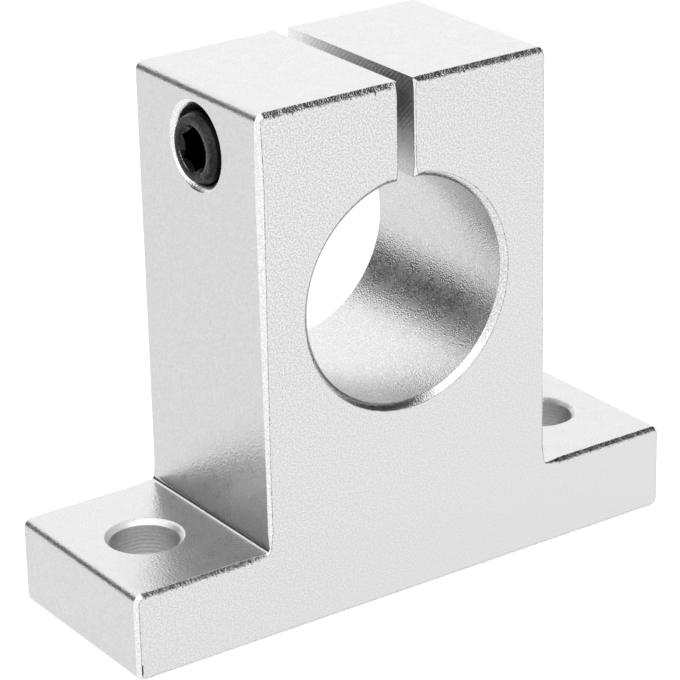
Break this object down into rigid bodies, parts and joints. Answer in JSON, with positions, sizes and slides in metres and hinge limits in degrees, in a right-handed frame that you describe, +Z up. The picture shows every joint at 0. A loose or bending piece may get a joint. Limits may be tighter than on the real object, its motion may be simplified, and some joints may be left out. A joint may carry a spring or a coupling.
{
  "type": "shaft support block",
  "caption": "Upright one-piece support block that clamps the end of a linear shaft in a slit bore closed by a socket head cap screw, with bolt-down ears.",
  "frame": {"origin": "centre of the underside, below the shaft bore", "axes": "+X across the base from the screw head's side to the tapped side, +Y along the shaft bore, +Z up"},
  "size_m": [0.084, 0.028, 0.07],
  "materials": {
    "anodised_aluminium": "bead-blasted and clear anodised, satin",
    "black_oxide_steel": "black oxide, lightly oiled"
  },
  "bodies": {
    "block": {"support_block": "anodised_aluminium"},
    "screw": {"clamp_screw": "black_oxide_steel"}
  },
  "joints": [
    {"name": "clamp_screw_turn", "type": "hinge", "parent": "block", "child": "screw", "pos_m": [0, 0, 0.06205], "axis": [-1, 0, 0], "range_deg": [-90, 690]}
  ]
}
